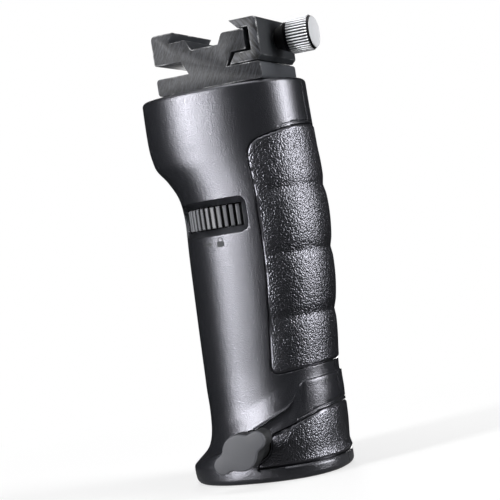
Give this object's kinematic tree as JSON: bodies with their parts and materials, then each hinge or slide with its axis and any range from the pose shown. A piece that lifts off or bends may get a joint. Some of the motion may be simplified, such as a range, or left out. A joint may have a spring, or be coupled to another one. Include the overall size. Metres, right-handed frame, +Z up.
{
  "type": "camera flash bracket grip",
  "caption": "Pistol-style hand grip for a flash or lamp, with a swivelling dovetail clamp head, a thumb wheel brake and a stand socket with a wing screw in its foot.",
  "frame": {"origin": "centre of the whole part's box, on the flat underside of the foot", "axes": "+Z up the grip to the clamp head, -Y towards the side with the thumb wheel and the wing screw, +X towards the clamp screw and the rubber grip pad"},
  "size_m": [0.0626, 0.0582, 0.1483],
  "materials": {
    "moulded_plastic": "satin charcoal moulded plastic with a fine spark-eroded grain",
    "rubber": "black rubber with a moulded leather grain",
    "anodised_aluminium": "black anodised extrusion with sawn and brushed ends",
    "steel": "bright turned steel",
    "chrome": "nickel-chrome plated straight knurl with a satin end face",
    "brass": "machined brass",
    "nylon": "natural nylon",
    "wheel_plastic": "satin grey moulded plastic",
    "grey_plastic": "mid grey moulded plastic"
  },
  "bodies": {
    "handle": {"front_shell": "moulded_plastic", "rear_shell": "moulded_plastic", "grip_pad": "rubber", "base_band": "rubber", "base_plate": "moulded_plastic", "base_screw_1": "steel", "base_screw_2": "steel", "base_screw_3": "steel", "shell_screw_1": "steel", "shell_screw_2": "steel", "shell_screw_3": "steel", "shell_screw_4": "steel", "top_plate": "anodised_aluminium", "pivot_bush": "brass", "spigot_bush": "steel", "threaded_insert": "brass", "friction_washer": "nylon"},
    "head": {"head_block": "anodised_aluminium", "pivot_bolt": "steel", "brake_disc": "steel"},
    "movable_jaw": {"movable_jaw": "anodised_aluminium", "guide_pin_1": "steel", "guide_pin_2": "steel"},
    "clamp_screw": {"clamp_stud": "steel", "clamp_collar": "moulded_plastic", "knurled_knob": "chrome"},
    "lock_wheel": {"lock_wheel": "wheel_plastic"},
    "brake_plunger": {"brake_plunger": "steel", "brake_shoe": "rubber"},
    "pressure_pad": {"pressure_pad": "nylon"},
    "wing_screw": {"wing_stud": "steel", "wing_collar": "moulded_plastic", "wing_knob": "grey_plastic"}
  },
  "joints": [
    {"name": "head_swivel", "type": "hinge", "parent": "handle", "child": "head", "pos_m": [-0.00131, 0.00667, 0.128], "axis": [0, 0, 1], "continuous": true},
    {"name": "jaw_slide", "type": "slide", "parent": "head", "child": "movable_jaw", "axis": [1, 0, 0], "range_m": [-0.0007, 0.0045]},
    {"name": "clamp_turn", "type": "hinge", "parent": "movable_jaw", "child": "clamp_screw", "pos_m": [0.025, 0.00667, 0.14165], "axis": [1, 0, 0], "range_deg": [-312, 2020]},
    {"name": "wheel_turn", "type": "hinge", "parent": "handle", "child": "lock_wheel", "pos_m": [-0.00466, 0.00167, 0.0865], "axis": [0, 0, -1], "range_deg": [0, 358]},
    {"name": "plunger_rise", "type": "slide", "parent": "handle", "child": "brake_plunger", "axis": [0, 0, 1], "range_m": [0, 0.001]},
    {"name": "pad_push", "type": "slide", "parent": "handle", "child": "pressure_pad", "axis": [0, 1, 0], "range_m": [0, 0.004]},
    {"name": "wing_turn", "type": "hinge", "parent": "pressure_pad", "child": "wing_screw", "pos_m": [-0.00176, -0.02, 0.0124], "axis": [0, 1, 0], "range_deg": [0, 1436]}
  ],
  "couplings": [
    {"joint": "jaw_slide", "follows": "clamp_turn", "m_per_rad": 0.00012732},
    {"joint": "plunger_rise", "follows": "wheel_turn", "m_per_rad": 0.00015915},
    {"joint": "pad_push", "follows": "wing_turn", "m_per_rad": 0.00015915}
  ]
}
